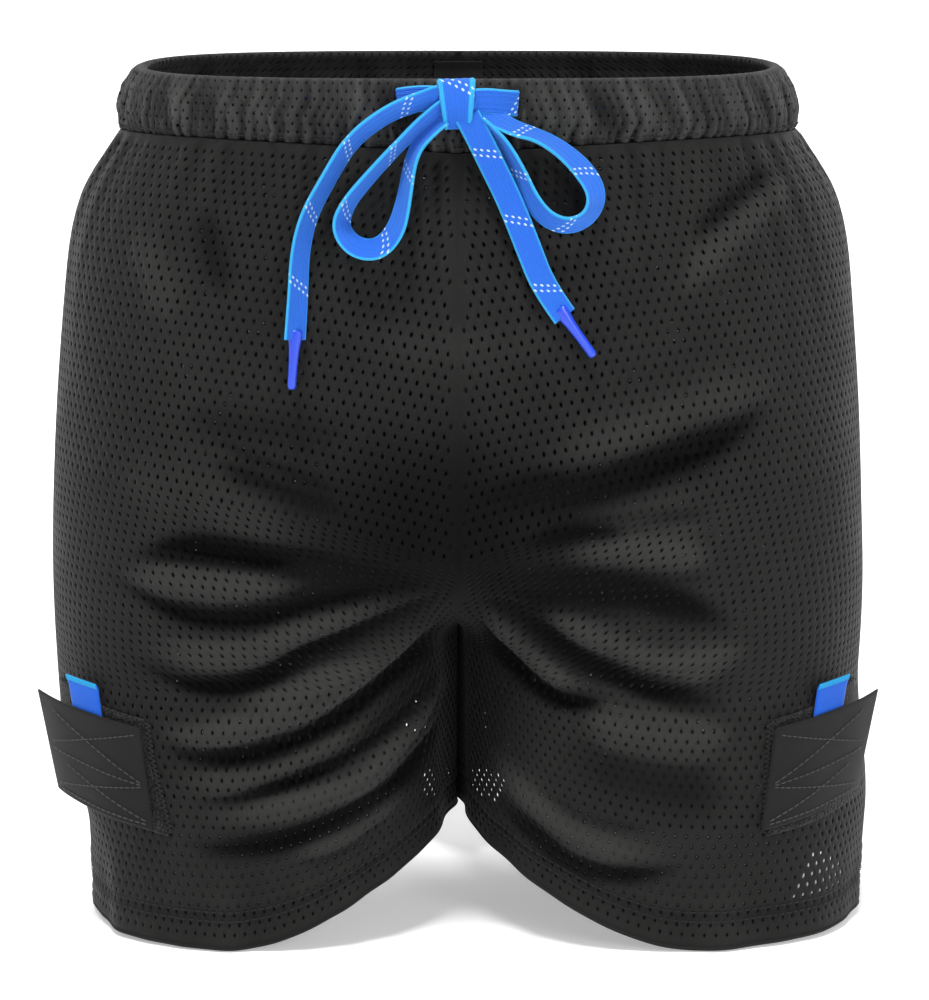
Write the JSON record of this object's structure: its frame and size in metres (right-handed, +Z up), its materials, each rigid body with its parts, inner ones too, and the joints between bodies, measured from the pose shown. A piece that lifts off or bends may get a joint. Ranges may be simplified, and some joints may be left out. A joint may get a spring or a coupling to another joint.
{
  "type": "padded impact shorts",
  "caption": "Black mesh sports shorts with a laced elastic waist, a hook-and-loop sock tab on each leg and an inner pocket with a protective cup.",
  "frame": {"origin": "centre of the waist opening, level with the front of its rim", "axes": "+Z up along the body, -Y to the front, -X to the wearer's right"},
  "size_m": [0.3732, 0.2343, 0.383],
  "materials": {
    "mesh_cloth": "knitted athletic mesh, soft sheen",
    "elastic": "braided elastic",
    "seam_thread": "twisted sewing thread",
    "lace_weave": "flat woven polyester lace with white tracers",
    "aglet_plastic": "smooth moulded sleeve",
    "loop_fabric": "brushed loop fabric",
    "hook_fabric": "moulded hooks on tape",
    "tab_fabric": "brushed tape, matte",
    "pull_webbing": "folded woven tape",
    "cup_plastic": "satin moulded plastic",
    "cup_rubber": "soft thermoplastic rubber",
    "label_cloth": "plain woven label, blank"
  },
  "bodies": {
    "shorts": {"right_front_panel": "mesh_cloth", "left_front_panel": "mesh_cloth", "right_back_panel": "mesh_cloth", "left_back_panel": "mesh_cloth", "waistband_casing": "mesh_cloth", "right_leg_hem": "mesh_cloth", "left_leg_hem": "mesh_cloth", "cup_pocket_front": "mesh_cloth", "cup_pocket_back": "mesh_cloth", "waistband_elastic": "elastic", "cup_pocket_binding": "elastic", "right_side_seam": "seam_thread", "left_side_seam": "seam_thread", "centre_front_seam": "seam_thread", "centre_back_seam": "seam_thread", "crotch_seam": "seam_thread", "right_inseam": "seam_thread", "left_inseam": "seam_thread", "waist_seam": "seam_thread", "right_lace_eyelet": "seam_thread", "left_lace_eyelet": "seam_thread", "right_tab_bar_tack": "seam_thread", "left_tab_bar_tack": "seam_thread", "lace_in_casing": "lace_weave", "lace_right_lead_left_loop": "lace_weave", "lace_left_lead_right_loop": "lace_weave", "lace_knot": "lace_weave", "lace_right_tail": "lace_weave", "lace_left_tail": "lace_weave", "right_aglet": "aglet_plastic", "left_aglet": "aglet_plastic", "right_tab_loop_patch": "loop_fabric", "left_tab_loop_patch": "loop_fabric", "size_label": "label_cloth"},
    "right_tab": {"right_tab_hook_pad": "hook_fabric", "right_tab_flap": "tab_fabric", "right_tab_pull": "pull_webbing", "right_tab_stitching": "seam_thread"},
    "left_tab": {"left_tab_hook_pad": "hook_fabric", "left_tab_flap": "tab_fabric", "left_tab_pull": "pull_webbing", "left_tab_stitching": "seam_thread"},
    "cup": {"cup_shell": "cup_plastic", "cup_edge_cushion": "cup_rubber"}
  },
  "joints": [
    {"name": "right_tab_hinge", "type": "hinge", "parent": "shorts", "child": "right_tab", "pos_m": [-0.13471, -0.0989, -0.30056], "axis": [-0.117, -0.0055, 0.9931], "range_deg": [0, 160]},
    {"name": "left_tab_hinge", "type": "hinge", "parent": "shorts", "child": "left_tab", "pos_m": [0.13471, -0.0989, -0.30056], "axis": [-0.117, 0.0055, -0.9931], "range_deg": [0, 160]},
    {"name": "cup_lift", "type": "slide", "parent": "shorts", "child": "cup", "axis": [0, 0, 1], "range_m": [0, 0.11]}
  ]
}
